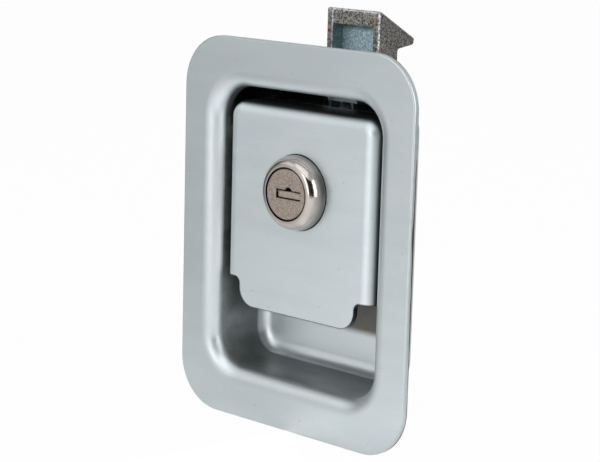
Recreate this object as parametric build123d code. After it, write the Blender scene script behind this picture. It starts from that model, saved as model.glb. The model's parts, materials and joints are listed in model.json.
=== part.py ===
from build123d import *
import math
import os

# Weld-on paddle latch with a sprung slam bolt and a key lock.
# X runs to the right as seen from the front, Y into the door, Z up.  The origin is the middle
# of the mounting flange's rear face, the face that lies on the door skin.  All sizes are mm.

# ---------------------------------------------------------------- driving dimensions
SHEET = 1.5                    # steel sheet of pan, paddle and guide channel
FLANGE_W, FLANGE_H, FLANGE_R = 79.4, 101.6, 13.5
MOUTH_W, MOUTH_H, MOUTH_R = 56.6, 77.1, 9.0      # pan opening, at the flange's front face
PAN_DEPTH = 18.4               # flange front face to pan floor
DRAFT = 8.0                    # taper of the drawn pan walls, degrees
DRAW_R, FLOOR_R = 4.2, 3.2     # rolled lip and floor radii, on the inner side

SIDE_GAP, TOP_GAP = 2.3, 4.45  # paddle to mouth, measured at the flange's front face
FINGER_GAP = 17.95             # free height below the tongue
PADDLE_SET = 2.4               # paddle face below the flange's front face
PADDLE_BEND, PADDLE_CORNER, RETURN = 3.6, 4.5, 10.2
SHOULDER, TONGUE_L, TONGUE_R, STEP_R = 5.7, 7.5, 5.0, 1.8

PIN_SET, PIN_DROP, PIN_R = 6.1, 8.6, 2.0         # hinge line behind and below the paddle's edge
ARM_L, ARM_UP = 17.0, 18.0     # lever length and its rest angle above level, degrees
NOSE_R, NECK_HALF = 2.0, 1.1
CHEEK_IN, CHEEK_OUT = 3.6, 5.6
SWING = 36.0                   # paddle travel, degrees; the lever ends as far below level

BOLT_W, BOLT_D = 18.0, 7.9     # bolt section
BOLT_RISE = 8.3                # bolt top above the flange's edge
RECESS_W, RECESS_D, BOLT_ROOF = 14.2, 4.2, 4.4
HOOK_OUT, HOOK_H, HOOK_LEAN, HOOK_TIP = 14.6, 10.4, 7.9, 1.6

LOCK_DROP, BEZEL_R, BEZEL_H = 21.6, 9.8, 4.7     # lock axis below the paddle's top edge
LOCK_R, LOCK_FLAT = 8.0, 7.25
PLUG_HEAD_R, PLUG_R = 6.7, 5.8
KEY_W, KEY_H, KEY_X = 8.2, 2.2, 0.95
CAM_T, CAM_REACH, CAM_W = 1.8, 13.0, 8.0

SLIDE = 0.3                    # clearance between sliding or swinging pieces
RUN = 0.05                     # radial clearance of turning fits
SLIP = 0.1                     # assembly clearance of fixed pieces

# ---------------------------------------------------------------- derived planes
FRONT = -SHEET
FLOOR = FRONT + PAN_DEPTH
BACK = FLOOR + SHEET                         # rear face of the pan
PADDLE_W = MOUTH_W - 2 * SIDE_GAP
PADDLE_TOP = MOUTH_H / 2 - TOP_GAP
TONGUE_W = PADDLE_W - 2 * SHOULDER
TONGUE_END = FINGER_GAP - MOUTH_H / 2
PADDLE_STEP = TONGUE_END + TONGUE_L
PADDLE_Y = FRONT + PADDLE_SET
SKIN = PADDLE_Y + SHEET                      # rear face of the paddle skin
PIVOT_Y, PIVOT_Z = PADDLE_Y + PIN_SET, PADDLE_TOP - PIN_DROP
LOCK_Z = PADDLE_TOP - LOCK_DROP
WEB = BACK + SHEET                           # rear face of the guide channel's web
BOLT_Y = WEB + SLIDE
BOLT_BACK = BOLT_Y + BOLT_D
SIDE_IN = BOLT_W / 2 + SLIDE
SIDE_OUT = SIDE_IN + SHEET
SIDE_END = BOLT_BACK + SLIDE + 0.1
BOLT_TOP = FLANGE_H / 2 + BOLT_RISE
BOLT_FOOT = PIVOT_Z - 0.5
HOOK_UNDER = BOLT_TOP - HOOK_H
ARM = math.radians(ARM_UP)
NOSE_Y = PIVOT_Y + ARM_L * math.cos(ARM)
NOSE_Z = PIVOT_Z + ARM_L * math.sin(ARM)
LEDGE = NOSE_Z - NOSE_R - SLIDE              # bolt ledge that the lever's noses press
CAM_Y = BACK + SLIDE + 0.1
LEAN = math.tan(math.radians(DRAFT))
FLOOR_HALF = MOUTH_W / 2 - PAN_DEPTH * LEAN - FLOOR_R * math.tan(math.radians(45 - DRAFT / 2))
BUTTON_R = 1.9
BUTTON_X = FLOOR_HALF - BUTTON_R - SLIP      # on the flat of the floor, beside its radius


# ---------------------------------------------------------------- small helpers
def slab(x0, x1, y0, y1, z0, z1):
    """A box given by its limits along each axis."""
    box = Box(abs(x1 - x0), abs(y1 - y0), abs(z1 - z0))
    return Pos((x0 + x1) / 2, (y0 + y1) / 2, (z0 + z1) / 2) * box


def rod_x(y, z, r, x0, x1):
    return Pos((x0 + x1) / 2, y, z) * Rot(0, 90, 0) * Cylinder(r, abs(x1 - x0))


def rod_y(x, z, r, y0, y1):
    return Pos(x, (y0 + y1) / 2, z) * Rot(90, 0, 0) * Cylinder(r, abs(y1 - y0))


def rod_z(x, y, r, z0, z1):
    return Pos(x, y, (z0 + z1) / 2) * Cylinder(r, abs(z1 - z0))


def profile_x(points, x0, x1):
    """A closed outline of (y, z) points, extruded along X."""
    face = make_face(Polyline(*points, close=True))
    return extrude(Plane.YZ.offset(x0) * face, amount=x1 - x0)


def spin_y(points, x, z):
    """A closed outline of (radius, y) points, turned about a line parallel to Y."""
    solid = revolve(make_face(Polyline(*points, close=True)), axis=Axis.Y)
    return Pos(x, 0, z) * solid


def along(shape, axis):
    return shape.edges().filter_by(axis)


def edges_at_y(shape, y, half_x=math.inf, half_z=math.inf):
    """Edges lying in the plane y, inside a rectangle about the Y axis."""
    found = []
    for e in shape.edges():
        b, c = e.bounding_box(), e.center()
        flat = abs(b.min.Y - y) < 1e-4 and abs(b.max.Y - y) < 1e-4
        if flat and abs(c.X) < half_x and abs(c.Z) < half_z:
            found.append(e)
    return found


def one(shape):
    """The single solid of a finished piece."""
    solids = shape.solids()
    return max(solids, key=lambda s: s.volume)


def group(shapes):
    """Identical loose pieces kept together as one node."""
    return Compound([one(shape) for shape in shapes])


pieces = {}

# ---------------------------------------------------------------- pan
# Drawn from sheet in one piece: flat flange, rolled lip, tapered walls and a flat floor.
lip_plane = Plane(origin=(0, FRONT, 0), x_dir=(1, 0, 0), z_dir=(0, 1, 0))
root_plane = Plane(origin=(0, 0, 0), x_dir=(1, 0, 0), z_dir=(0, 1, 0))
grow = SHEET / math.cos(math.radians(DRAFT)) - SHEET * LEAN

plate = extrude(lip_plane * RectangleRounded(FLANGE_W, FLANGE_H, FLANGE_R), amount=SHEET)
plate = fillet(edges_at_y(plate, FRONT), 0.45)
outer = RectangleRounded(MOUTH_W + 2 * grow, MOUTH_H + 2 * grow, MOUTH_R + grow)
inner = RectangleRounded(MOUTH_W, MOUTH_H, MOUTH_R)
pan = plate + extrude(root_plane * outer, amount=BACK, taper=DRAFT)
pan -= extrude(lip_plane * inner, amount=PAN_DEPTH, taper=DRAFT)
within = ((MOUTH_W + FLANGE_W) / 4, (MOUTH_H + FLANGE_H) / 4)
pan = fillet(edges_at_y(pan, FRONT, *within), DRAW_R)
pan = fillet(edges_at_y(pan, 0, *within), DRAW_R - SHEET)
pan = fillet(edges_at_y(pan, FLOOR, *within), FLOOR_R)
pan = fillet(edges_at_y(pan, BACK, *within), FLOOR_R + SHEET)

# Coined pads give the hinge pin's head and clip a square seat on the tapered walls.
PAD = MOUTH_W / 2 + grow - (PIVOT_Y - 4.4) * LEAN + 0.1
for side in (-1, 1):
    pan += rod_x(PIVOT_Y, PIVOT_Z, 4.4, side * (PAD - 1.6), side * PAD)
pan -= rod_x(PIVOT_Y, PIVOT_Z, PIN_R + RUN, -FLANGE_W, FLANGE_W)

# The lever passes a slot that runs over the pan's top corner, the lock a window below it.
SLOT_HALF, WINDOW_HALF = CHEEK_OUT + SLIDE, LOCK_R + 1.5
WINDOW_LOW, WINDOW_TOP = LOCK_Z - CAM_REACH - 3.5, LOCK_Z + LOCK_R + 0.5
pan -= slab(-SLOT_HALF, SLOT_HALF, FLOOR - 3.4, BACK + 1, PIVOT_Z - 7.5, FLANGE_H / 2 - 5.8)
window = slab(-WINDOW_HALF, WINDOW_HALF, FLOOR - 1, BACK + 1, WINDOW_LOW, WINDOW_TOP)
pan -= fillet(along(window, Axis.Y), 2.0)

RIVET_R, RIVET_X = 1.2, SLOT_HALF + 2.5
RIVET_ZS = (PIVOT_Z - 1.3, PIVOT_Z + 4.8)
for side in (-1, 1):
    for z in RIVET_ZS:
        pan -= rod_y(side * RIVET_X, z, RIVET_R + RUN, FLOOR - 1, BACK + 1)
pieces["pan"] = one(pan)

# ---------------------------------------------------------------- bolt guide
# A U-shaped channel riveted to the pan floor, closed behind by a cap that carries the spring.
CHAN_LOW, CHAN_TOP = PIVOT_Z - 7.0, PIVOT_Z + 16.0
channel = slab(-SIDE_OUT, SIDE_OUT, BACK, SIDE_END, CHAN_LOW, CHAN_TOP)
front_bends = [e for e in along(channel, Axis.Z) if e.center().Y < BACK + 0.1]
channel = fillet(front_bends, SHEET + 0.7)
hollow = slab(-SIDE_IN, SIDE_IN, WEB, SIDE_END + 1, CHAN_LOW - 1, CHAN_TOP + 1)
hollow_bends = [e for e in along(hollow, Axis.Z) if e.center().Y < WEB + 0.1]
channel -= fillet(hollow_bends, 0.7)
channel -= slab(-SLOT_HALF - 0.5, SLOT_HALF + 0.5, BACK - 1, WEB + 1, CHAN_LOW - 1,
                NOSE_Z + NOSE_R + 1.85)
SINK = 0.7                     # depth of the flush rivet heads' countersinks
for side in (-1, 1):
    for z in RIVET_ZS:
        channel -= rod_y(side * RIVET_X, z, RIVET_R + RUN, BACK - 1, WEB + 1)
        cone = [(0, WEB - SINK), (RIVET_R + RUN, WEB - SINK), (RIVET_R + RUN + SINK, WEB),
                (0, WEB)]
        channel -= spin_y(cone, side * RIVET_X, z)

CAP_T, CAP_LOW, CAP_TOP = 1.2, CHAN_LOW + 0.5, CHAN_TOP - 4.3
CAP_OUT = SIDE_OUT + RUN + CAP_T
CAP_BACK = SIDE_END + CAP_T
SPRING_Y, SPRING_R, SPRING_WIRE = BOLT_BACK - 2.25, 2.0, 0.3
FOOT_Z, FOOT_HALF = BOLT_FOOT - 16.8, 4.2
cap = slab(-CAP_OUT, CAP_OUT, BOLT_Y + 1.5, CAP_BACK, CAP_LOW, CAP_TOP)
cap_bends = [e for e in along(cap, Axis.Z) if e.center().Y > CAP_BACK - 0.1]
cap = fillet(cap_bends, CAP_T)
cap -= slab(-SIDE_OUT - RUN, SIDE_OUT + RUN, BOLT_Y, SIDE_END, CAP_LOW - 1, CAP_TOP + 1)
cap += slab(-FOOT_HALF, FOOT_HALF, SIDE_END, CAP_BACK, FOOT_Z, CAP_LOW + 1)
cap += slab(-FOOT_HALF, FOOT_HALF, SPRING_Y - 2.3, CAP_BACK, FOOT_Z, FOOT_Z + CAP_T)
heel = [e for e in along(cap, Axis.X) if abs(e.center().Y - CAP_BACK) < 0.01
        and abs(e.center().Z - FOOT_Z) < 0.01]
cap = fillet(heel, CAP_T)
SEAT = FOOT_Z + CAP_T
stud = rod_z(0, SPRING_Y, SPRING_R - SPRING_WIRE - 0.3, SEAT, SEAT + 2.4)
cap += chamfer(stud.edges().sort_by(Axis.Z)[-1], 0.4)

CAP_RIVET_Y, CAP_RIVET_ZS = BOLT_Y + 4.8, (CAP_LOW + 3.6, CAP_TOP - 3.6)
for side in (-1, 1):
    for z in CAP_RIVET_ZS:
        hole = rod_x(CAP_RIVET_Y, z, RIVET_R + RUN, side * (SIDE_IN - 1), side * (CAP_OUT + 1))
        channel -= hole
        cap -= hole
pieces["guide_channel"] = one(channel)
pieces["guide_cap"] = one(cap)

head = [(0, FLOOR - 0.9), (1.3, FLOOR - 0.75), (2.0, FLOOR - 0.35), (2.1, FLOOR),
        (RIVET_R, FLOOR), (RIVET_R, WEB - SINK), (RIVET_R + SINK, WEB), (0, WEB)]
pieces["channel_rivets"] = group(spin_y(head, side * RIVET_X, z)
                                 for side in (-1, 1) for z in RIVET_ZS)


def cap_rivet(side, z):
    x0, x1 = side * SIDE_IN, side * CAP_OUT
    button = rod_x(CAP_RIVET_Y, z, 2.1, x1, x1 + side * 0.9)
    rim = [e for e in button.edges() if abs(e.center().X - x1 - side * 0.9) < 0.01]
    return rod_x(CAP_RIVET_Y, z, RIVET_R, x0, x1) + chamfer(rim, 0.5)


pieces["cap_rivets"] = group(cap_rivet(side, z) for side in (-1, 1) for z in CAP_RIVET_ZS)

# ---------------------------------------------------------------- slam bolt
# Die-cast: a slanted striking head, a hollow front for the lever and a spring groove behind.
hook_y = BOLT_Y + HOOK_OUT
outline = [(BOLT_Y, BOLT_FOOT), (BOLT_Y, BOLT_TOP), (hook_y, BOLT_TOP - HOOK_LEAN),
           (hook_y - 0.4, BOLT_TOP - HOOK_LEAN - HOOK_TIP), (BOLT_BACK, HOOK_UNDER),
           (BOLT_BACK, BOLT_FOOT)]
bolt = profile_x(outline, -BOLT_W / 2, BOLT_W / 2)
tip = [e for e in along(bolt, Axis.X) if e.center().Y > hook_y - 1]
bolt = fillet(tip, 0.7)
throat = [e for e in along(bolt, Axis.X) if abs(e.center().Y - BOLT_BACK) < 0.01
          and abs(e.center().Z - HOOK_UNDER) < 0.01]
bolt = fillet(throat, 0.8)
crest = [e for e in along(bolt, Axis.X) if e.center().Z > BOLT_TOP - 0.01]
bolt = fillet(crest, 0.6)
for side in (-1, 1):
    flank = [e for e in bolt.edges() if abs(e.center().X - side * BOLT_W / 2) < 0.01]
    bolt = fillet(flank, 0.35)

recess = slab(-RECESS_W / 2, RECESS_W / 2, BOLT_Y - 1, BOLT_Y + RECESS_D,
              LEDGE, BOLT_TOP - BOLT_ROOF)
bolt -= fillet([e for e in along(recess, Axis.Y) if e.center().Z > HOOK_UNDER], 0.8)
for side in (-1, 1):
    bolt -= slab(side * (CHEEK_IN - 0.4), side * (CHEEK_OUT + 0.6), BOLT_Y + 1,
                 BOLT_Y + 6.6, LEDGE, HOOK_UNDER - 4.4)
GROOVE_TOP = HOOK_UNDER - 10.4
groove_half = SPRING_R + SPRING_WIRE + SLIDE
bolt -= slab(-groove_half, groove_half, SPRING_Y - groove_half, BOLT_BACK + 1,
             BOLT_FOOT - 1, GROOVE_TOP)
pieces["slam_bolt"] = one(bolt)

coil_low, coil_high = SEAT + SPRING_WIRE, GROOVE_TOP - SPRING_WIRE
TURNS = 8
path = Helix(pitch=(coil_high - coil_low) / TURNS, height=coil_high - coil_low,
             radius=SPRING_R, center=(0, SPRING_Y, coil_low))
wire = Plane(origin=path @ 0, z_dir=path % 0) * Circle(SPRING_WIRE)
pieces["bolt_spring"] = one(sweep(wire, path=path, is_frenet=True))

# ---------------------------------------------------------------- paddle
# Pressed sheet: flat face, side and top returns, and a narrower flat tongue for the fingers.
half = PADDLE_W / 2
RIM = PADDLE_Y + RETURN
shell = slab(-half, half, PADDLE_Y, RIM, PADDLE_STEP, PADDLE_TOP)
shell = fillet([e for e in along(shell, Axis.Y) if e.center().Z > 0], PADDLE_CORNER)
bends = [e for e in edges_at_y(shell, PADDLE_Y) if e.center().Z > PADDLE_STEP + 0.01]
shell = fillet(bends, PADDLE_BEND)
core = slab(-half + SHEET, half - SHEET, SKIN, RIM + 9, PADDLE_STEP - 5, PADDLE_TOP - SHEET)
core = fillet([e for e in along(core, Axis.Y) if e.center().Z > 0], PADDLE_CORNER - SHEET)
core = fillet([e for e in edges_at_y(core, SKIN) if e.center().Z > PADDLE_STEP - 2],
              PADDLE_BEND - SHEET)
tongue = slab(-TONGUE_W / 2, TONGUE_W / 2, PADDLE_Y, SKIN, TONGUE_END, 0)
tongue = fillet([e for e in along(tongue, Axis.Y) if e.center().Z < PADDLE_STEP], TONGUE_R)
paddle = (shell - core) + tongue
notch = [e for e in along(paddle, Axis.Y) if abs(abs(e.center().X) - TONGUE_W / 2) < 0.01
         and abs(e.center().Z - PADDLE_STEP) < 0.01]
paddle = fillet(notch, STEP_R)

# Inward ears at the ends of the returns come to rest on the pan's rubber buttons.
EAR_LOW, EAR_TOP, EAR_IN = PADDLE_STEP + 0.6, PADDLE_STEP + 8.1, BUTTON_X - 2.0
for side in (-1, 1):
    ear = slab(side * EAR_IN, side * half, RIM - SHEET, RIM, EAR_LOW, EAR_TOP)
    corner = [e for e in along(ear, Axis.Z) if abs(e.center().X) > half - 0.1
              and e.center().Y > RIM - 0.1]
    ear = fillet(corner, 1.2)
    paddle -= slab(side * (half - 1.6), side * (half + 1), RIM - 1.3, RIM + 1,
                   EAR_LOW, EAR_TOP)
    paddle += ear
BUSH_R, BUSH_RIM = PIN_R + RUN + 1.0, 0.4
paddle -= rod_x(PIVOT_Y, PIVOT_Z, BUSH_R, -FLANGE_W, FLANGE_W)
lock_hole = rod_y(0, LOCK_Z, LOCK_R + SLIP, PADDLE_Y - 2, SKIN + 1)
lock_hole &= slab(-LOCK_FLAT - SLIP, LOCK_FLAT + SLIP, PADDLE_Y - 2, SKIN + 1,
                  LOCK_Z - 2 * LOCK_R, LOCK_Z + 2 * LOCK_R)
paddle -= lock_hole
pieces["paddle"] = one(paddle)

# ---------------------------------------------------------------- hinge
for side, name in ((-1, "left"), (1, "right")):
    bush = rod_x(PIVOT_Y, PIVOT_Z, BUSH_R - 0.02, side * (half - 2.6), side * half)
    bush += rod_x(PIVOT_Y, PIVOT_Z, 3.4, side * half, side * (half + BUSH_RIM))
    bush -= rod_x(PIVOT_Y, PIVOT_Z, PIN_R + RUN, side * (half - 4), side * (half + 2))
    pieces[f"pin_bushing_{name}"] = one(bush)

CLIP_T = 0.6
pin = rod_x(PIVOT_Y, PIVOT_Z, PIN_R, -PAD - 0.5, PAD + 2.2)
pin_head = rod_x(PIVOT_Y, PIVOT_Z, 3.4, -PAD - 1.5, -PAD)
rim = [e for e in pin_head.edges() if abs(e.center().X + PAD + 1.5) < 0.01]
pin += fillet(rim, 0.6)
groove = rod_x(PIVOT_Y, PIVOT_Z, PIN_R + 1, PAD + 0.05, PAD + 0.05 + CLIP_T + 0.05)
groove -= rod_x(PIVOT_Y, PIVOT_Z, PIN_R - 0.5, PAD - 1, PAD + 3)
pin -= groove
pin = chamfer([e for e in pin.edges() if e.center().X > PAD + 2.1], 0.4)
pieces["hinge_pin"] = one(pin)

x0 = PAD + 0.075
clip = rod_x(PIVOT_Y, PIVOT_Z, 3.9, x0, x0 + CLIP_T)
clip -= rod_x(PIVOT_Y, PIVOT_Z, 2.6, x0 - 1, x0 + 2)
clip -= slab(x0 - 1, x0 + 2, PIVOT_Y - 1.45, PIVOT_Y + 1.45, PIVOT_Z - 5, PIVOT_Z)
for turn in (0, 120, 240):
    tooth = slab(x0, x0 + CLIP_T, -0.8, 0.8, PIN_R - 0.48, 3.0)
    clip += Pos(0, PIVOT_Y, PIVOT_Z) * Rot(turn, 0, 0) * tooth
clip -= rod_x(PIVOT_Y, PIVOT_Z, PIN_R - 0.5, x0 - 1, x0 + 2)
pieces["pin_clip"] = one(clip)

# Torsion spring round the pin: one leg behind the paddle face, the other on the pan floor.
COIL_R, COIL_WIRE, COIL_PITCH, COIL_X = 3.3, 0.6, 1.4, 8.0
start, end = 190.0, 300.0 + 3 * 360.0


def on_coil(angle):
    """Point and tangent of the spring's coil at an angle about the pin."""
    a = math.radians(angle)
    x = COIL_X + COIL_PITCH * (angle - start) / 360
    return (Vector(x, PIVOT_Y + COIL_R * math.cos(a), PIVOT_Z + COIL_R * math.sin(a)),
            Vector(COIL_PITCH / math.tau, -COIL_R * math.sin(a), COIL_R * math.cos(a)).normalized())


turns = (end - start) / 360
coil = Helix(pitch=COIL_PITCH, height=COIL_PITCH * turns, radius=COIL_R)
axle = Plane(origin=(COIL_X, PIVOT_Y, PIVOT_Z), x_dir=(0, 1, 0), z_dir=(1, 0, 0))
coil = axle * (Rot(0, 0, start) * coil)
p0, t0 = on_coil(start)
p1, t1 = on_coil(end)
leg_a = (p0.Y - (SKIN + COIL_WIRE + 0.02)) / t0.Y
leg_b = (FLOOR - COIL_WIRE - 0.02 - p1.Y) / t1.Y
wire_a = Line(p0 - t0 * leg_a, p0)
wire_b = Line(p1, p1 + t1 * leg_b)
q0, q1 = coil @ 0, coil @ 1
assert (q0 - p0).length < 0.01 and (q1 - p1).length < 0.01, (q0, p0, q1, p1)
path = Wire([wire_a.edge(), coil.edge(), wire_b.edge()])
section = Plane(origin=path @ 0, z_dir=path % 0) * Circle(COIL_WIRE)
pieces["return_spring"] = one(sweep(section, path=path, is_frenet=True))

# ---------------------------------------------------------------- lever
# A U-shaped steel lever welded under the paddle's top return; its two cheeks work the bolt.
UNDER = PADDLE_TOP - SHEET
c, s = math.cos(ARM), math.sin(ARM)


def on_arm(d, h):
    """A point d along the lever from the pin and h above its centre line."""
    return (PIVOT_Y + d * c - h * s, PIVOT_Z + d * s + h * c)


lever = None
for side in (-1, 1):
    x0, x1 = side * CHEEK_IN, side * CHEEK_OUT
    lo, hi = min(x0, x1), max(x0, x1)
    arm = [on_arm(0, 3.4), on_arm(9.0, 1.9), on_arm(12.4, NECK_HALF), on_arm(ARM_L, NECK_HALF),
           on_arm(ARM_L, -NECK_HALF), on_arm(12.4, -NECK_HALF), on_arm(9.0, -1.9),
           on_arm(0, -3.4)]
    cheek = profile_x(arm, lo, hi) + rod_x(PIVOT_Y, PIVOT_Z, 3.8, lo, hi)
    cheek += rod_x(NOSE_Y, NOSE_Z, NOSE_R, lo, hi)
    web = [(SKIN, UNDER), (SKIN, PIVOT_Z + 1), (PIVOT_Y - 3.4, PIVOT_Z), (PIVOT_Y + 3.4, PIVOT_Z),
           (PIVOT_Y + 3.8, UNDER - 2), (PIVOT_Y + 3.8, UNDER)]
    cheek += profile_x(web, lo, hi)
    lever = cheek if lever is None else lever + cheek
lever += slab(-CHEEK_OUT, CHEEK_OUT, SKIN, PIVOT_Y + 3.8, UNDER - SHEET, UNDER)
lever += slab(-CHEEK_OUT, CHEEK_OUT, SKIN, SKIN + SHEET, PIVOT_Z + 2, UNDER)
lever -= rod_x(PIVOT_Y, PIVOT_Z, PIN_R + SLIDE, -9, 9)
nook = [e for e in along(lever, Axis.X) if abs(e.center().Y - SKIN) < 0.01
        and abs(e.center().Z - UNDER) < 0.01]
lever = fillet(nook, PADDLE_BEND - SHEET + 0.2)
pieces["paddle_lever"] = one(lever)

# ---------------------------------------------------------------- rubber buttons
BUTTON_Z = (EAR_LOW + EAR_TOP) / 2 - 0.15
for side, name in ((-1, "left"), (1, "right")):
    top = RIM + 0.05
    shape = [(0, top), (1.4, top), (1.8, top + 0.4), (BUTTON_R, FLOOR), (0, FLOOR)]
    button = spin_y(shape, side * BUTTON_X, BUTTON_Z)
    pieces[f"rubber_button_{name}"] = one(button)

# ---------------------------------------------------------------- lock
# Domed bezel and flatted body, held behind the paddle by a spring-steel fork.
face_y = PADDLE_Y - BEZEL_H
LOCK_END = CAM_Y - 0.5
PLUG_GAP, FOOT_R, LIP_W = 0.2, 0.5, 0.35
rise = BEZEL_H - FOOT_R        # the dome is a quarter of an ellipse, from its widest point up
crown_r = PLUG_HEAD_R + PLUG_GAP + LIP_W
dome = EllipticalCenterArc((crown_r, PADDLE_Y - FOOT_R), BEZEL_R - crown_r, rise,
                           start_angle=270, arc_size=90)
foot = Line((BEZEL_R, PADDLE_Y - FOOT_R), (BEZEL_R - FOOT_R, PADDLE_Y))
under = Line((BEZEL_R - FOOT_R, PADDLE_Y), (PLUG_HEAD_R + PLUG_GAP, PADDLE_Y))
bore = Line((PLUG_HEAD_R + PLUG_GAP, PADDLE_Y), (PLUG_HEAD_R + PLUG_GAP, face_y))
brim = Line((PLUG_HEAD_R + PLUG_GAP, face_y), (crown_r, face_y))
bezel = Pos(0, 0, LOCK_Z) * revolve(make_face(Wire([dome, foot, under, bore, brim])), axis=Axis.Y)
body = rod_y(0, LOCK_Z, LOCK_R, face_y + 2.15, LOCK_END)
for side in (-1, 1):
    body -= slab(side * LOCK_FLAT, side * 2 * LOCK_R, PADDLE_Y, LOCK_END + 1,
                 LOCK_Z - 2 * LOCK_R, LOCK_Z + 2 * LOCK_R)
FORK_T, FORK_IN = 1.1, 6.2
for side in (-1, 1):
    body -= slab(side * FORK_IN, side * 2 * LOCK_R, SKIN, SKIN + FORK_T + 0.1,
                 LOCK_Z - 2 * LOCK_R, LOCK_Z + 2 * LOCK_R)
housing = bezel + body
housing -= rod_y(0, LOCK_Z, PLUG_R + RUN + 0.05, face_y - 1, LOCK_END + 1)
housing -= rod_y(0, LOCK_Z, PLUG_HEAD_R + PLUG_GAP, face_y - 1, face_y + 2.25)
pieces["lock_housing"] = one(housing)

fork = slab(-11, 11, SKIN, SKIN + FORK_T, LOCK_Z - 9.5, LOCK_Z + 10.5)
fork = fillet(along(fork, Axis.Y), 3.0)
fork -= rod_y(0, LOCK_Z, LOCK_R + SLIP, SKIN - 1, SKIN + 3) & \
    slab(-FORK_IN - 0.05, FORK_IN + 0.05, 0, 9, LOCK_Z, LOCK_Z + 12)
fork -= slab(-FORK_IN - 0.05, FORK_IN + 0.05, 0, 9, LOCK_Z - 12, LOCK_Z + 1)
pieces["lock_fork"] = one(fork)

# Plug: round head with the keyway, slotted barrel for the leaf tumblers, square tail.
TAIL = 2.5                     # half width of the square tail
CAM_BACK = CAM_Y + CAM_T
plug = rod_y(0, LOCK_Z, PLUG_HEAD_R, face_y + 0.05, face_y + 2.15)
plug = chamfer([e for e in plug.edges() if e.center().Y < face_y + 0.1], 0.25)
plug += rod_y(0, LOCK_Z, PLUG_R, face_y + 1, LOCK_END + 0.2)
plug += slab(-TAIL, TAIL, LOCK_END, CAM_BACK - 0.05, LOCK_Z - TAIL, LOCK_Z + TAIL)
key_lo, key_hi = KEY_X - KEY_W / 2, KEY_X + KEY_W / 2
KEY_END = LOCK_END - 5.3
plug -= slab(key_lo, key_hi, face_y - 1, KEY_END, LOCK_Z - KEY_H / 2, LOCK_Z + KEY_H / 2)
ridge = [(-1.45, KEY_H / 2 - 0.1), (1.45, KEY_H / 2 - 0.1), (0.5, 1.95), (-0.5, 1.95)]
ridge_face = make_face(Polyline(*[(KEY_X + x, LOCK_Z + z) for x, z in ridge], close=True))
plug -= extrude(Plane.XZ.offset(-face_y + 1) * ridge_face, amount=-14)
SHUT_Y, SHUT_Z = face_y + 0.75, LOCK_Z + KEY_H / 2 - 0.55   # hinge line of the dust shutter
SHUT_PIN = 0.25
plug -= slab(key_lo - 0.4, key_hi + 0.4, SHUT_Y - SHUT_PIN - RUN, SHUT_Y + SHUT_PIN + RUN,
             SHUT_Z - SHUT_PIN - RUN, SHUT_Z + SHUT_PIN + RUN)
LEAF_T, LEAF_HALF, LEAF_PITCH = 1.0, 3.0, 2.8
LEAF_YS = [SKIN + 0.2 + LEAF_PITCH * i for i in range(4)]
for y in LEAF_YS:
    plug -= slab(KEY_X - 4.4, KEY_X + LEAF_HALF + RUN, y - RUN, y + LEAF_T + RUN,
                 LOCK_Z - 7, LOCK_Z + 7)
SCREW_R, SCREW_L = 1.5, 5.0
plug -= rod_y(0, LOCK_Z, SCREW_R + 0.02, CAM_BACK - SCREW_L - 0.3, CAM_BACK + 1)
pieces["lock_plug"] = one(plug)

for number, y in enumerate(LEAF_YS, start=1):
    leaf = rod_y(0, LOCK_Z, PLUG_R - RUN, y, y + LEAF_T)
    leaf &= slab(KEY_X - 4.3, KEY_X + LEAF_HALF, y - 1, y + 2, LOCK_Z - 7, LOCK_Z + 7)
    leaf -= slab(KEY_X - 3.3, KEY_X + LEAF_HALF - 1.2, y - 1, y + 3,
                 LOCK_Z - KEY_H / 2 - 0.4 - 0.2 * number, LOCK_Z + KEY_H / 2 + 1.6 - 0.2 * number)
    pieces[f"tumbler_{number}"] = one(leaf)

flap = slab(key_lo + 0.15, key_hi - 0.15, SHUT_Y - 0.2, SHUT_Y + 0.2,
            LOCK_Z - KEY_H / 2 + 0.2, SHUT_Z + 0.1)
flap += rod_x(SHUT_Y, SHUT_Z, SHUT_PIN, key_lo - 0.3, key_hi + 0.3)
pieces["key_shutter"] = one(flap)

cam = rod_y(0, LOCK_Z, 5.8, CAM_Y, CAM_BACK)
cam += slab(-CAM_W / 2, CAM_W / 2, CAM_Y, CAM_BACK, LOCK_Z - CAM_REACH, LOCK_Z)
cam = fillet([e for e in along(cam, Axis.Y) if e.center().Z < LOCK_Z - CAM_REACH + 0.1], 2.0)
cam -= slab(-TAIL - SLIP, TAIL + SLIP, CAM_Y - 1, CAM_BACK + 1,
            LOCK_Z - TAIL - SLIP, LOCK_Z + TAIL + SLIP)
pieces["lock_cam"] = one(cam)

WASHER_T = 0.5
washer = rod_y(0, LOCK_Z, 4.3, CAM_BACK, CAM_BACK + WASHER_T)
washer -= rod_y(0, LOCK_Z, SCREW_R + 0.15, CAM_BACK - 1, CAM_BACK + 2)
pieces["cam_washer"] = one(washer)

screw = rod_y(0, LOCK_Z, SCREW_R, CAM_BACK - SCREW_L, CAM_BACK + WASHER_T + 0.5)
screw_head = rod_y(0, LOCK_Z, 3.2, CAM_BACK + WASHER_T, CAM_BACK + WASHER_T + 1.6)
rim = [e for e in screw_head.edges() if e.center().Y > CAM_BACK + WASHER_T + 1.5]
screw += fillet(rim, 0.7)
for turn in (0, 90):
    bit = slab(-0.45, 0.45, CAM_BACK + WASHER_T + 0.6, CAM_BACK + 5, -2.0, 2.0)
    screw -= Pos(0, 0, LOCK_Z) * Rot(0, turn, 0) * bit
pieces["cam_screw"] = one(screw)

# ---------------------------------------------------------------- export
os.makedirs("parts", exist_ok=True)
for name, shape in pieces.items():
    shape.label = name
    export_step(shape, f"parts/{name}.step")
print(len(pieces), "pieces")
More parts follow.
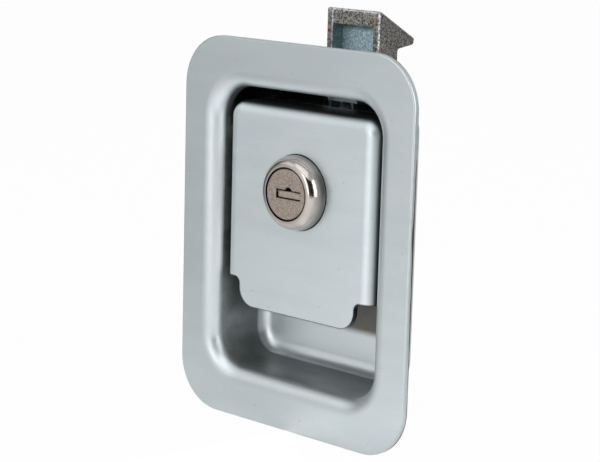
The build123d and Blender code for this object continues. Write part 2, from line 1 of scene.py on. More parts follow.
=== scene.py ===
# %% [markdown]
# # A flush paddle latch, dressed for the camera
# The part is a weld-on paddle latch: a pressed steel pan with a flat flange, a paddle hinged in
# it, a key lock in the paddle and a sprung slam bolt behind.  Every solid comes from the CAD
# model, so this lesson is about finishes: how to make bright zinc plate, a grainy die casting,
# polished nickel, brass and rubber out of noise and a few masks, and how to light them.

# %% Load the pieces
import json
import math

import bpy
from mathutils import Matrix, Vector


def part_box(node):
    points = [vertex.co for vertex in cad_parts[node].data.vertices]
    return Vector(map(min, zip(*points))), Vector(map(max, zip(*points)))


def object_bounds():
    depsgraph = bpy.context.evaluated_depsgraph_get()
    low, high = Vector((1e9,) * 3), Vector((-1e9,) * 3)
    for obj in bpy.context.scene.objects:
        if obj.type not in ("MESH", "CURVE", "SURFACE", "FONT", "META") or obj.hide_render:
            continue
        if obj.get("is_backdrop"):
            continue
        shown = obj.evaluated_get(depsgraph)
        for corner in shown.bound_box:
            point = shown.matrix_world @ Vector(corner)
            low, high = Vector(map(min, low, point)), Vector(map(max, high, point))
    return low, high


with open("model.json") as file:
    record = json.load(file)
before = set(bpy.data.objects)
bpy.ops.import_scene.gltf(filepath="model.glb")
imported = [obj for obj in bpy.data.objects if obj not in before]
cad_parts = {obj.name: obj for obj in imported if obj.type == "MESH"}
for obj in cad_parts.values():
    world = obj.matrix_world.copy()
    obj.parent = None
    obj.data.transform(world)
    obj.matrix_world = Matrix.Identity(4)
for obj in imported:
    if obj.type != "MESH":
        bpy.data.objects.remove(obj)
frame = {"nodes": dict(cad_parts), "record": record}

cad_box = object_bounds()
nodes = frame["nodes"]
MM = 0.001
print(len(nodes), "pieces, box in mm:",
      [[round(v / MM, 1) for v in corner] for corner in cad_box])

# %% [markdown]
# ## Smooth shading
# A CAD solid arrives as small flat triangles.  Its curved faces should shade as curves while
# its sheared edges stay crisp, so every face is marked smooth and only edges that turn more
# than a set angle are marked sharp.  The points themselves don't move.

# %% Shade curves smooth and keep sheared edges crisp
CRISP_TURN = math.radians(32)


def shade_by_angle(obj):
    """Marks a piece smooth, but sharp where it turns more than CRISP_TURN."""
    bpy.ops.object.select_all(action="DESELECT")
    obj.select_set(True)
    bpy.context.view_layer.objects.active = obj
    bpy.ops.object.shade_smooth_by_angle(angle=CRISP_TURN)


print("edges stay sharp above", round(math.degrees(CRISP_TURN)), "degrees")

# %% [markdown]
# ## Helpers for node trees
# Every finish below is a small net of nodes.  A few short functions make a group, a node, a
# noise, a smooth ramp and one step of arithmetic, so that each net reads like a recipe.

# %% Helpers for groups and nodes
FLOAT, VECTOR = "NodeSocketFloat", "NodeSocketVector"


def new_group(name, inputs, outputs):
    """A shader node group with named sockets; returns it, its nodes, its links and both ends."""
    tree = bpy.data.node_groups.new(name, "ShaderNodeTree")
    for label, kind, value in inputs:
        socket = tree.interface.new_socket(label, in_out="INPUT", socket_type=kind)
        socket.default_value = value
    for label, kind in outputs:
        tree.interface.new_socket(label, in_out="OUTPUT", socket_type=kind)
    return (tree, tree.nodes, tree.links, tree.nodes.new("NodeGroupInput"),
            tree.nodes.new("NodeGroupOutput"))


def add(tree_nodes, kind, **settings):
    """A node of the given kind with its settings."""
    node = tree_nodes.new(kind)
    for key, value in settings.items():
        setattr(node, key, value)
    return node


print("helpers: new_group, add")


# %% Helpers for noise, ramps and arithmetic
def noise(tree_nodes, links, point, scale, detail=3.0, rough=0.55):
    """A noise texture at a point; scale may be a number or another node's output."""
    node = add(tree_nodes, "ShaderNodeTexNoise")
    node.inputs["Detail"].default_value = detail
    node.inputs["Roughness"].default_value = rough
    links.new(point, node.inputs["Vector"])
    if isinstance(scale, (int, float)):
        node.inputs["Scale"].default_value = scale
    else:
        links.new(scale, node.inputs["Scale"])
    return node.outputs["Fac"]


def ramp(tree_nodes, links, value, low, high, out_low=0.0, out_high=1.0):
    """Maps low..high to out_low..out_high, smoothly and clamped."""
    node = add(tree_nodes, "ShaderNodeMapRange", interpolation_type="SMOOTHSTEP")
    for label, number in (("From Min", low), ("From Max", high),
                          ("To Min", out_low), ("To Max", out_high)):
        node.inputs[label].default_value = number
    links.new(value, node.inputs["Value"])
    return node.outputs["Result"]


def math_node(tree_nodes, links, operation, a, b=None):
    """One Math node; a and b may be numbers or outputs."""
    node = add(tree_nodes, "ShaderNodeMath", operation=operation)
    for socket, value in zip(node.inputs, (a, b)):
        if value is None:
            continue
        if isinstance(value, (int, float)):
            socket.default_value = value
        else:
            links.new(value, socket)
    return node.outputs[0]


print("helpers: noise, ramp, math_node")

# %% [markdown]
# ## Group 1: plating clouds
# Bright zinc plate is never one even grey.  The bath leaves soft clouds, drawn out along the
# direction the sheet was rolled in, and the steel below shows as a fine speckle.  Both are
# noise, at two scales, and a third noise leaves rare dark specks.  They are wanted in several
# materials, so they are built once as a node group that puts out plain masks.

# %% The clouds group
CLOUD_BAND, SPECKLE_BAND = (0.32, 0.68), (0.30, 0.70)
SPECK_SCALE, SPECK_BAND = 900.0, (0.745, 0.80)
clouds, cn, cl, cin, cout = new_group(
    "plating_clouds",
    [("Cloud Scale", FLOAT, 90.0), ("Speckle Scale", FLOAT, 2600.0),
     ("Stretch", VECTOR, (1.0, 1.0, 1.0))],
    [("Clouds", FLOAT), ("Speckle", FLOAT), ("Specks", FLOAT)])
place = add(cn, "ShaderNodeTexCoord").outputs["Object"]
rolled = add(cn, "ShaderNodeMapping")
cl.new(cin.outputs["Stretch"], rolled.inputs["Scale"])
cl.new(place, rolled.inputs["Vector"])
soft = noise(cn, cl, rolled.outputs[0], cin.outputs["Cloud Scale"], detail=4)
cl.new(ramp(cn, cl, soft, *CLOUD_BAND), cout.inputs["Clouds"])
fine = noise(cn, cl, place, cin.outputs["Speckle Scale"], detail=2)
cl.new(ramp(cn, cl, fine, *SPECKLE_BAND), cout.inputs["Speckle"])
rare = noise(cn, cl, place, SPECK_SCALE, detail=1)
cl.new(ramp(cn, cl, rare, *SPECK_BAND), cout.inputs["Specks"])
print("group plating_clouds:", len(cn), "nodes")

# %% [markdown]
# ## Group 2: sheared edge
# A sheared edge has two zones: the punch burnishes the front of the thickness bright, and the
# rest tears and plates dark.  The edge can't be told from a wall by its normal alone, so the
# mask is the strip outside a rounded rectangle that is a hair smaller than the sheet, kept only
# behind the depth where the tearing starts.  The distance to a rounded rectangle is a short
# sum, and a slow noise lets the torn zone wander.

# %% The sheared edge group
EDGE_SOFT, TEAR_SOFT = 0.04 * MM, 0.1 * MM
WAVE_SCALE, WAVE_HEIGHT = 40.0, 2 * MM
edge, en, el, ein, eout = new_group(
    "sheared_edge",
    [("Half Width", FLOAT, 0.04), ("Half Height", FLOAT, 0.05), ("Corner", FLOAT, 0.0135),
     ("Inset", FLOAT, 0.00012), ("Tear Depth", FLOAT, -0.0003)],
    [("Edge", FLOAT)])
place = add(en, "ShaderNodeTexCoord").outputs["Object"]
split = add(en, "ShaderNodeSeparateXYZ")
el.new(place, split.inputs[0])
reach = []
for axis, half in (("X", "Half Width"), ("Z", "Half Height")):
    size = math_node(en, el, "ABSOLUTE", split.outputs[axis])
    straight = math_node(en, el, "SUBTRACT", ein.outputs[half], ein.outputs["Corner"])
    over = math_node(en, el, "SUBTRACT", size, straight)
    reach.append(math_node(en, el, "MAXIMUM", over, 0.0))
square = [math_node(en, el, "MULTIPLY", r, r) for r in reach]
length = math_node(en, el, "SQRT", math_node(en, el, "ADD", *square))
past = math_node(en, el, "SUBTRACT", length, ein.outputs["Corner"])
past = math_node(en, el, "ADD", past, ein.outputs["Inset"])
outside = ramp(en, el, past, -EDGE_SOFT, EDGE_SOFT)
wavy = math_node(en, el, "MULTIPLY_ADD", noise(en, el, place, WAVE_SCALE), WAVE_HEIGHT)
wavy.node.inputs[2].default_value = -WAVE_HEIGHT / 2
behind = math_node(en, el, "SUBTRACT", split.outputs["Y"], ein.outputs["Tear Depth"])
torn = ramp(en, el, math_node(en, el, "ADD", behind, wavy), -TEAR_SOFT, TEAR_SOFT)
el.new(math_node(en, el, "MULTIPLY", outside, torn), eout.inputs["Edge"])
print("group sheared_edge:", len(en), "nodes")

# %% [markdown]
# ## Group 3: worn box edges
# Tumbling and handling rub the corners of a casting bright.  For a boxy piece a point is near
# an edge when it is close to two of the box's six faces at once: of the three distances to the
# nearest face along X, Y and Z, the middle one is small.  Noise breaks the line up.

# %% The worn edges group
BREAK_DEPTH, WORN_BAND = 1.3, (0.75, 1.35)
worn, wn, wl, win, wout = new_group(
    "worn_box_edges",
    [("Low", VECTOR, (0, 0, 0)), ("High", VECTOR, (1, 1, 1)), ("Width", FLOAT, 0.0006),
     ("Break Scale", FLOAT, 1500.0)],
    [("Worn", FLOAT)])
place = add(wn, "ShaderNodeTexCoord").outputs["Object"]
sides = []
for label in ("Low", "High"):
    offset = add(wn, "ShaderNodeVectorMath", operation="SUBTRACT")
    wl.new(place, offset.inputs[0])
    wl.new(win.outputs[label], offset.inputs[1])
    size = add(wn, "ShaderNodeVectorMath", operation="ABSOLUTE")
    wl.new(offset.outputs[0], size.inputs[0])
    sides.append(size.outputs[0])
nearest = add(wn, "ShaderNodeVectorMath", operation="MINIMUM")
wl.new(sides[0], nearest.inputs[0])
wl.new(sides[1], nearest.inputs[1])
split = add(wn, "ShaderNodeSeparateXYZ")
wl.new(nearest.outputs[0], split.inputs[0])
x, y, z = split.outputs
small = math_node(wn, wl, "MINIMUM", x, y)
large = math_node(wn, wl, "MAXIMUM", x, y)
middle = math_node(wn, wl, "MAXIMUM", small, math_node(wn, wl, "MINIMUM", large, z))
share = math_node(wn, wl, "DIVIDE", middle, win.outputs["Width"])
rough = noise(wn, wl, place, win.outputs["Break Scale"], detail=2)
share = math_node(wn, wl, "ADD", share, math_node(wn, wl, "MULTIPLY", rough, BREAK_DEPTH))
wl.new(ramp(wn, wl, share, *WORN_BAND, 1.0, 0.0), wout.inputs["Worn"])
print("group worn_box_edges:", len(wn), "nodes")

# %% [markdown]
# ## Group 4: drawn walls
# Where the die draws the sheet down into walls, the finishes paint shade on them, and a
# highlight on the rolled bends.  Every such wall stands nearly square to the flange, so how much
# of a face looks along the depth axis tells walls from flats.  The two limits choose what
# counts:
# low ones pick the walls alone, high ones take in the rolled bends beside them.

# %% The drawn wall group
wall, an, al, ain, aout = new_group(
    "drawn_walls", [("Start", FLOAT, 0.3), ("End", FLOAT, 0.6)], [("Wall", FLOAT)])
facing = add(an, "ShaderNodeSeparateXYZ")
al.new(add(an, "ShaderNodeTexCoord").outputs["Normal"], facing.inputs[0])
along_depth = math_node(an, al, "ABSOLUTE", facing.outputs["Y"])
band = add(an, "ShaderNodeMapRange", interpolation_type="SMOOTHSTEP")
al.new(along_depth, band.inputs["Value"])
al.new(ain.outputs["Start"], band.inputs["From Min"])
al.new(ain.outputs["End"], band.inputs["From Max"])
band.inputs["To Min"].default_value, band.inputs["To Max"].default_value = 1.0, 0.0
al.new(band.outputs["Result"], aout.inputs["Wall"])
print("group drawn_walls:", len(an), "nodes")

# %% [markdown]
# ## Group 5: inside a box
# Painted shade and clean skin each keep to one place on a piece: the gap over the paddle, the
# keyway, the bolt's recess.  This mask is 1 inside a box and 0 outside, with a soft border.

# %% The inside box group
inside, bn, bl, bin_, bout = new_group(
    "inside_box", [("Low", VECTOR, (0, 0, 0)), ("High", VECTOR, (1, 1, 1)),
                   ("Border", FLOAT, 0.0002)], [("Inside", FLOAT)])
place = add(bn, "ShaderNodeTexCoord").outputs["Object"]
depths = []
for first, second in ((place, bin_.outputs["Low"]), (bin_.outputs["High"], place)):
    offset = add(bn, "ShaderNodeVectorMath", operation="SUBTRACT")
    bl.new(first, offset.inputs[0])
    bl.new(second, offset.inputs[1])
    parts = add(bn, "ShaderNodeSeparateXYZ")
    bl.new(offset.outputs[0], parts.inputs[0])
    depths += list(parts.outputs)
least = depths[0]
for depth in depths[1:]:
    least = math_node(bn, bl, "MINIMUM", least, depth)
share = math_node(bn, bl, "DIVIDE", least, bin_.outputs["Border"])
bl.new(ramp(bn, bl, share, 0.0, 1.0), bout.inputs["Inside"])
print("group inside_box:", len(bn), "nodes")

# %% [markdown]
# ## Group 6: ring about the lock
# Painted shade marks where the lock's round pieces meet.  The mask is a soft ring of a given
# radius about the lock's axis, which runs along Y, so the depth is dropped before measuring.

# %% The ring group
RING_CORE = 0.5
ring, rn, rl, rin, rout = new_group(
    "ring_about_axis", [("Centre", VECTOR, (0, 0, 0)), ("Radius", FLOAT, 0.0067),
                        ("Width", FLOAT, 0.0002)], [("Ring", FLOAT)])
place = add(rn, "ShaderNodeTexCoord").outputs["Object"]
offset = add(rn, "ShaderNodeVectorMath", operation="SUBTRACT")
rl.new(place, offset.inputs[0])
rl.new(rin.outputs["Centre"], offset.inputs[1])
flat = add(rn, "ShaderNodeVectorMath", operation="MULTIPLY")
flat.inputs[1].default_value = (1, 0, 1)
rl.new(offset.outputs[0], flat.inputs[0])
reach = add(rn, "ShaderNodeVectorMath", operation="LENGTH")
rl.new(flat.outputs[0], reach.inputs[0])
away = math_node(rn, rl, "SUBTRACT", reach.outputs["Value"], rin.outputs["Radius"])
share = math_node(rn, rl, "DIVIDE", math_node(rn, rl, "ABSOLUTE", away), rin.outputs["Width"])
rl.new(ramp(rn, rl, share, RING_CORE, 1.0, 1.0, 0.0), rout.inputs["Ring"])
print("group ring_about_axis:", len(rn), "nodes")

# %% [markdown]
# ## Group 7: cast grain
# A tumbled zinc casting is covered in tiny dents that catch the light one by one.  A Voronoi
# texture gives round cells of random brightness; mixed with noise they become the grain's
# tone and its height.

# %% The cast grain group
TONE_BAND, BLOTCH_BAND = (0.18, 0.82), (0.35, 0.65)
grain, gn, gl, gin, gout = new_group(
    "cast_grain",
    [("Dents", FLOAT, 2200.0), ("Blotches", FLOAT, 260.0)],
    [("Tone", FLOAT), ("Height", FLOAT), ("Blotch", FLOAT)])
place = add(gn, "ShaderNodeTexCoord").outputs["Object"]
cells = add(gn, "ShaderNodeTexVoronoi")
gl.new(place, cells.inputs["Vector"])
gl.new(gin.outputs["Dents"], cells.inputs["Scale"])
tone = add(gn, "ShaderNodeSeparateColor")
gl.new(cells.outputs["Color"], tone.inputs[0])
fine = noise(gn, gl, place, gin.outputs["Dents"], detail=3, rough=0.7)
mixed = math_node(gn, gl, "MULTIPLY", math_node(gn, gl, "ADD", tone.outputs[0], fine), 0.5)
gl.new(ramp(gn, gl, mixed, *TONE_BAND), gout.inputs["Tone"])
gl.new(math_node(gn, gl, "ADD", cells.outputs["Distance"], fine), gout.inputs["Height"])
gl.new(ramp(gn, gl, noise(gn, gl, place, gin.outputs["Blotches"]), *BLOTCH_BAND),
       gout.inputs["Blotch"])
print("group cast_grain:", len(gn), "nodes")

# %% [markdown]
# ## Materials
# Each finish is one Principled BSDF.  Colour and roughness come from the groups, and
# everything that is the same all over goes straight on the shader's own sockets.


# %% Helpers for materials
def new_material(name, metallic, roughness, colour):
    """A material with a plain Principled BSDF; returns it, its nodes, links and the shader."""
    mat = bpy.data.materials.new(name)
    mat.use_nodes = True
    shader = mat.node_tree.nodes["Principled BSDF"]
    shader.inputs["Metallic"].default_value = metallic
    shader.inputs["Roughness"].default_value = roughness
    shader.inputs["Base Color"].default_value = (*colour, 1)
    mat.diffuse_color = (*colour, 1)
    return mat, mat.node_tree.nodes, mat.node_tree.links, shader


def use_group(tree_nodes, tree, **values):
    """Places a node group and sets its inputs; underscores in names stand for spaces."""
    node = add(tree_nodes, "ShaderNodeGroup", node_tree=tree)
    for key, value in values.items():
        node.inputs[key.replace("_", " ")].default_value = value
    return node


def blend(tree_nodes, links, mask, under, over):
    """A colour that goes from under to over as mask goes from 0 to 1."""
    node = add(tree_nodes, "ShaderNodeMix", data_type="RGBA")
    links.new(mask, node.inputs["Factor"])
    for label, value in (("A", under), ("B", over)):
        socket = next(s for s in node.inputs if s.name == label and s.type == "RGBA")
        if isinstance(value, tuple):
            socket.default_value = (*value, 1)
        else:
            links.new(value, socket)
    return next(s for s in node.outputs if s.type == "RGBA")


def bump(tree_nodes, links, height, distance):
    """A Bump node's normal from a height output."""
    node = add(tree_nodes, "ShaderNodeBump")
    node.inputs["Distance"].default_value = distance
    links.new(height, node.inputs["Height"])
    return node.outputs["Normal"]


print("helpers: new_material, use_group, blend, bump")

# %% [markdown]
# ### Zinc-plated sheet
# The pan and the paddle: pressed from pre-plated sheet, pale with a cool tint and a satin
# surface.  Clouds shift the colour a little, a fine speckle roughens the gloss unevenly, and
# rare dark specks stand for the pits that every bath leaves.

# %% Tones of the plated sheet
PLATE_LIGHT, PLATE_DARK = (0.74, 0.807, 0.83), (0.70, 0.768, 0.792)
# The first tone on the next line is a painted highlight for the recess floor and rolled bends.
PAINTED_SHEEN, SPECK_TONE = (0.80, 0.86, 0.88), (0.36, 0.37, 0.37)
# The wall tones are painted shade.
WALL_LIGHT, WALL_DARK = (0.56, 0.61, 0.61), (0.28, 0.315, 0.315)
WALL_DEEP, WALL_SHADE = (0.06, 0.068, 0.068), (0.19, 0.21, 0.21)
SHEAR_TONE, SHADE_TONE = (0.17, 0.14, 0.12), (0.02, 0.022, 0.024)
# Both tones on the next line are painted shade: the floor behind the tongue and the paddle's
# returns.
DUSK_TONE, RETURN_SHADE_TONE = (0.165, 0.16, 0.145), (0.085, 0.092, 0.095)
SHEET_METALLIC, SHEET_ROUGHNESS, SHEET_GLOSS = 0.93, 0.42, (0.38, 0.50)
SPECK_SHARE, FINE_GRAIN = 0.4, 0.000006


def plate_start(name, lightness):
    """The common start of the zinc plates: clouds and specks, lightness times as bright."""
    mat, mn, ml, shader = new_material(name, SHEET_METALLIC, SHEET_ROUGHNESS, PLATE_LIGHT)
    finish = use_group(mn, clouds, Cloud_Scale=95.0, Speckle_Scale=2100.0,
                       Stretch=(0.35, 1.0, 1.6))
    tones = [tuple(lightness * c for c in tone) for tone in (PLATE_DARK, PLATE_LIGHT)]
    base = blend(mn, ml, finish.outputs["Clouds"], *tones)
    dots = math_node(mn, ml, "MULTIPLY", finish.outputs["Specks"], SPECK_SHARE)
    base = blend(mn, ml, dots, base, SPECK_TONE)
    rough = ramp(mn, ml, finish.outputs["Speckle"], 0.0, 1.0, *SHEET_GLOSS)
    ml.new(bump(mn, ml, finish.outputs["Speckle"], FINE_GRAIN), shader.inputs["Normal"])
    return mat, mn, ml, shader, base, rough


print("plate tones from", PLATE_DARK, "to", PLATE_LIGHT)

# %% [markdown]
# ### The pan's two sides
# Only the recess gets painted shade and painted highlights; the rear side of the same sheet is
# plain zinc.
# A point belongs to the recess when its face looks towards the mouth, so the product of the
# face's normal and the way from the point to the mouth's centre tells the two sides apart.

# %% The pan: which side looks into the mouth
INWARD_SOFT = 0.1 * MM
pan_sheet, mn, ml, shader, base, rough = plate_start("plated_sheet_pan", 0.88)
low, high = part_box("pan")
outer = base
place = add(mn, "ShaderNodeTexCoord")
mouth = add(mn, "ShaderNodeVectorMath", operation="SUBTRACT")
mouth.inputs[0].default_value = ((low.x + high.x) / 2, low.y, (low.z + high.z) / 2)
ml.new(place.outputs["Object"], mouth.inputs[1])
inward = add(mn, "ShaderNodeVectorMath", operation="DOT_PRODUCT")
ml.new(mouth.outputs[0], inward.inputs[0])
ml.new(place.outputs["Normal"], inward.inputs[1])
inner_side = ramp(mn, ml, inward.outputs["Value"], -INWARD_SOFT, INWARD_SOFT)
print("the mouth's centre:", [round(v / MM, 1) for v in mouth.inputs[0].default_value], "mm")

# %% [markdown]
# ### The recess
# The pressed floor and the rolled bends get a painted highlight.  The drawn walls get a blotchy
# painted shade that darkens with depth, because the recess shades itself.

# %% The pan: floor, bends and walls
WALL_FADE_TOP, FLOOR_BEND, DEEPEST = -1 * MM, 5 * MM, 0.85
FLOOR_FROM, FLOOR_FULL = 8 * MM, 4 * MM
# Painted shade on the walls: blotchy, and darker with depth.
patches = use_group(mn, clouds, Cloud_Scale=120.0, Stretch=(0.5, 1.5, 1.5))
mottled = blend(mn, ml, patches.outputs["Clouds"], WALL_DARK, WALL_LIGHT)
depth = add(mn, "ShaderNodeSeparateXYZ")
ml.new(place.outputs["Object"], depth.inputs[0])
deeper = ramp(mn, ml, depth.outputs["Y"], WALL_FADE_TOP, high.y - FLOOR_BEND, 0.0, DEEPEST)
mottled = blend(mn, ml, deeper, mottled, WALL_DEEP)
# Painted highlights: the deep floor and the rolled bends are painted lighter.
sunk = ramp(mn, ml, depth.outputs["Y"], high.y - FLOOR_FROM, high.y - FLOOR_FULL)
base = blend(mn, ml, sunk, base, PAINTED_SHEEN)
rolls = use_group(mn, wall, Start=0.70, End=0.99)
base = blend(mn, ml, rolls.outputs["Wall"], base, PAINTED_SHEEN)
walls = use_group(mn, wall, Start=0.05, End=0.38)
base = blend(mn, ml, walls.outputs["Wall"], base, mottled)
print("recess", round((high.y - low.y) / MM, 1), "mm deep")

# %% [markdown]
# ### Shade in the recess
# Three places lie in deep shade: the gap over the paddle, the floor behind its tongue, and the
# left wall beside it.  A box mask paints each.  The price is that they stay dark when the
# paddle swings out.

# %% The pan: three shaded places
paddle_top, tongue_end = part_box("paddle")[1].z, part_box("paddle")[0].z
SIDE = 30 * MM
BELOW = tongue_end - 6 * MM
SHADED = {
    # name: border, low corner, high corner, tone
    "gap over the paddle": (
        1.5 * MM, (-SIDE, 3 * MM, paddle_top - 8 * MM),
        (SIDE, high.y + 3 * MM, paddle_top + 8 * MM), SHADE_TONE),
    "floor behind the tongue": (
        2.5 * MM, (-20 * MM, high.y - 5 * MM, BELOW),
        (SIDE, high.y + 4 * MM, paddle_top), DUSK_TONE),
    "left wall beside the paddle": (
        5 * MM, (-2 * SIDE, 2 * MM, BELOW),
        (-15 * MM, high.y + 20 * MM, paddle_top), WALL_SHADE)}
for name, (border, low_corner, high_corner, tone) in SHADED.items():
    shaded = use_group(mn, inside, Border=border, Low=low_corner, High=high_corner)
    base = blend(mn, ml, shaded.outputs["Inside"], base, tone)
    print("shaded:", name)
base = blend(mn, ml, inner_side, outer, base)

# %% [markdown]
# The flange's sheared edge is the last layer, on both sides of the sheet.  The torn zone is
# also dull, so the edge mask feeds the roughness too.

# %% The pan: sheared edge
FLANGE_CORNER = 13.5 * MM
cut = use_group(mn, edge, Half_Width=high.x, Half_Height=high.z, Corner=FLANGE_CORNER)
base = blend(mn, ml, cut.outputs["Edge"], base, SHEAR_TONE)
ml.new(base, shader.inputs["Base Color"])
ml.new(math_node(mn, ml, "MAXIMUM", rough, cut.outputs["Edge"]), shader.inputs["Roughness"])
print("the pan:", len(mn), "nodes")

# %% [markdown]
# ### The paddle
# The paddle's returns stand in its own shade, so painted shade makes them dark, and darkest
# near the face and on top.  Only a painted highlight along the rear of the top return is bright.

# %% The paddle: dark returns
LOCK_AXIS = [(a + b) / 2 for a, b in zip(*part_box("lock_plug"))]
PLUG_R = (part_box("lock_plug")[1].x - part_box("lock_plug")[0].x) / 2
BEZEL_R = (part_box("lock_housing")[1].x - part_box("lock_housing")[0].x) / 2
RETURN_SHADE_FULL, RETURN_SHADE_END, LOOKS_UP = 4.5 * MM, 7 * MM, (0.3, 0.6)
RIM_END, RIM_DEPTH, RIM_OUT = 6 * MM, 0.4 * MM, 1 * MM
paddle_sheet, mn, ml, shader, base, rough = plate_start("plated_sheet_paddle", 1.0)
low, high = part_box("paddle")
place = add(mn, "ShaderNodeTexCoord")
depth, facing = add(mn, "ShaderNodeSeparateXYZ"), add(mn, "ShaderNodeSeparateXYZ")
ml.new(place.outputs["Object"], depth.inputs[0])
ml.new(place.outputs["Normal"], facing.inputs[0])
# Painted shade on the paddle's returns, darkest near the face and on top.
gap = ramp(mn, ml, depth.outputs["Y"], low.y + RETURN_SHADE_FULL, low.y + RETURN_SHADE_END, 1.0, 0.0)
gap = math_node(mn, ml, "MAXIMUM", gap, ramp(mn, ml, facing.outputs["Z"], *LOOKS_UP))
returns_shade = blend(mn, ml, gap, WALL_DARK, RETURN_SHADE_TONE)
walls = use_group(mn, wall, Start=0.38, End=0.84)
base = blend(mn, ml, walls.outputs["Wall"], base, returns_shade)
# A painted highlight along the rear edge of the top return.
rim = use_group(mn, inside, Border=0.1 * MM,
                Low=(low.x + RIM_END, high.y - RIM_DEPTH, high.z - RIM_OUT),
                High=(high.x - RIM_END, high.y + RIM_OUT, high.z + RIM_OUT))
base = blend(mn, ml, rim.outputs["Inside"], base, PLATE_LIGHT)
print("bezel radius", round(BEZEL_R / MM, 2), "mm, plug radius", round(PLUG_R / MM, 2), "mm")

# %% [markdown]
# Two dark lines finish the paddle.  One runs round the bezel, where its rim shades the sheet.
# The other follows the sheared edges, partly the edge's own dark and partly painted shade in
# the gap beside it: a Bevel node gives the normal that slightly rounded edges would have, and
# where that turns away from the true normal, there is an edge.

# %% The paddle: dark lines
BEZEL_LINE, EDGE_LINE, EDGE_TURN = 0.28 * MM, 0.5 * MM, (0.95, 0.998)
line = use_group(mn, ring, Centre=LOCK_AXIS, Radius=BEZEL_R, Width=BEZEL_LINE)
base = blend(mn, ml, line.outputs["Ring"], base, SHADE_TONE)
rounded = add(mn, "ShaderNodeBevel", samples=6)
rounded.inputs["Radius"].default_value = EDGE_LINE
turned = add(mn, "ShaderNodeVectorMath", operation="DOT_PRODUCT")
ml.new(rounded.outputs[0], turned.inputs[0])
ml.new(add(mn, "ShaderNodeNewGeometry").outputs["Normal"], turned.inputs[1])
# A dark line along the sharp edges: the sheared edge's own dark plus painted shade.
edge_and_shade_line = ramp(mn, ml, turned.outputs["Value"], *EDGE_TURN, 1.0, 0.0)
base = blend(mn, ml, edge_and_shade_line, base, SHADE_TONE)
ml.new(base, shader.inputs["Base Color"])
ml.new(rough, shader.inputs["Roughness"])
print("the paddle:", len(mn), "nodes")

# %% [markdown]
# ### Die-cast zinc
# The bolt is cast and tumbled: dark and grainy where it is handled, bluish and cleaner inside
# the recess that tumbling doesn't reach, and rubbed bright along its edges.  Each zone has a
# dark and a light tone, and the same grain chooses between them.

# %% Die casting: the grain's tones
CAST_TONES = (0.04, 0.04, 0.038), (0.50, 0.49, 0.48)
WARM_TONES = (0.06, 0.051, 0.041), (0.50, 0.435, 0.36)
# The side tones and the clean side tones are painted shade for faces turned sideways and for the
# unlit part of the recess.
SIDE_TONES = (0.05, 0.048, 0.045), (0.34, 0.33, 0.315)
CLEAN_TONES = (0.30, 0.43, 0.48), (0.72, 0.88, 0.95)
CLEAN_SIDE_TONES = (0.12, 0.19, 0.20), (0.26, 0.37, 0.39)
RUBBED = (0.90, 0.92, 0.98)
cast, mn, ml, shader = new_material("die_cast_zinc", 0.85, 0.45, (0.33, 0.32, 0.31))
low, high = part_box("slam_bolt")
skin = use_group(mn, grain, Dents=3000.0, Blotches=420.0)
tone, warm, sides_tone, clean, side_clean = (
    blend(mn, ml, skin.outputs["Tone"], *tones)
    for tones in (CAST_TONES, WARM_TONES, SIDE_TONES, CLEAN_TONES, CLEAN_SIDE_TONES))
tone = blend(mn, ml, skin.outputs["Blotch"], tone, warm)
print("bolt", [round((b - a) / MM, 1) for a, b in zip(low, high)], "mm")

# %% [markdown]
# The recess opens to the front.  The box of its clean skin starts a hair behind the front face
# and reaches past the foot; a wider, softer box picks the part of it that catches light.  For
# the rubbed edges, a side of the box that should leave no bright line is set well outside the
# bolt.

# %% Die casting: recess and rubbed edges
FAR, OUTSIDE, ASIDE = 30 * MM, 10 * MM, 5 * MM
BOLT_WALL, FRONT_SKIN, RECESS_DEPTH, ROOF = 1.7 * MM, 0.15 * MM, 6 * MM, 4 * MM
# The grain's tones between which the rubbed edges come up, and their share at each.
SPARKLE = (0.20, 0.60, 0.2, 1.0)
hollow = use_group(mn, inside, Border=0.3 * MM,
                   Low=(low.x + BOLT_WALL, low.y + FRONT_SKIN, low.z - 1 * MM),
                   High=(high.x - BOLT_WALL, low.y + RECESS_DEPTH, high.z - ROOF))
lit = use_group(mn, inside, Border=1.6 * MM, Low=(low.x, low.y - 3 * MM, low.z - 3 * MM),
                High=(high.x - 0.6 * MM, low.y + 9 * MM, high.z - 4.6 * MM))
clean = blend(mn, ml, lit.outputs["Inside"], side_clean, clean)
# Faces turned sideways get painted shade.
square = use_group(mn, wall, Start=0.3, End=0.7)
tone = blend(mn, ml, square.outputs["Wall"], tone, sides_tone)
clean = blend(mn, ml, square.outputs["Wall"], clean, side_clean)
base = blend(mn, ml, hollow.outputs["Inside"], tone, clean)
bolt_edges = use_group(mn, worn, Low=(low.x - ASIDE, low.y, low.z), Width=1.0 * MM,
                       High=(high.x, low.y + FAR, high.z), Break_Scale=2600.0)
recess_edge = use_group(mn, worn, Low=(low.x + 1.9 * MM, low.y, low.z - OUTSIDE),
                        High=(high.x + OUTSIDE, low.y + FAR, high.z + OUTSIDE),
                        Width=0.5 * MM)
bright = math_node(mn, ml, "MAXIMUM", bolt_edges.outputs["Worn"], recess_edge.outputs["Worn"])
sparkle = ramp(mn, ml, skin.outputs["Tone"], *SPARKLE)
bright = math_node(mn, ml, "MULTIPLY", bright, sparkle)
base = blend(mn, ml, bright, base, RUBBED)
print("clean skin up to", round((high.z - ROOF) / MM, 1), "mm")

# %% Die casting: dents and gloss
DENT_HEIGHT, CAST_GLOSS = 0.05 * MM, (0.55, 0.38)
ml.new(base, shader.inputs["Base Color"])
ml.new(bump(mn, ml, skin.outputs["Height"], DENT_HEIGHT), shader.inputs["Normal"])
ml.new(ramp(mn, ml, skin.outputs["Tone"], 0, 1, *CAST_GLOSS), shader.inputs["Roughness"])
print("die casting:", len(mn), "nodes")

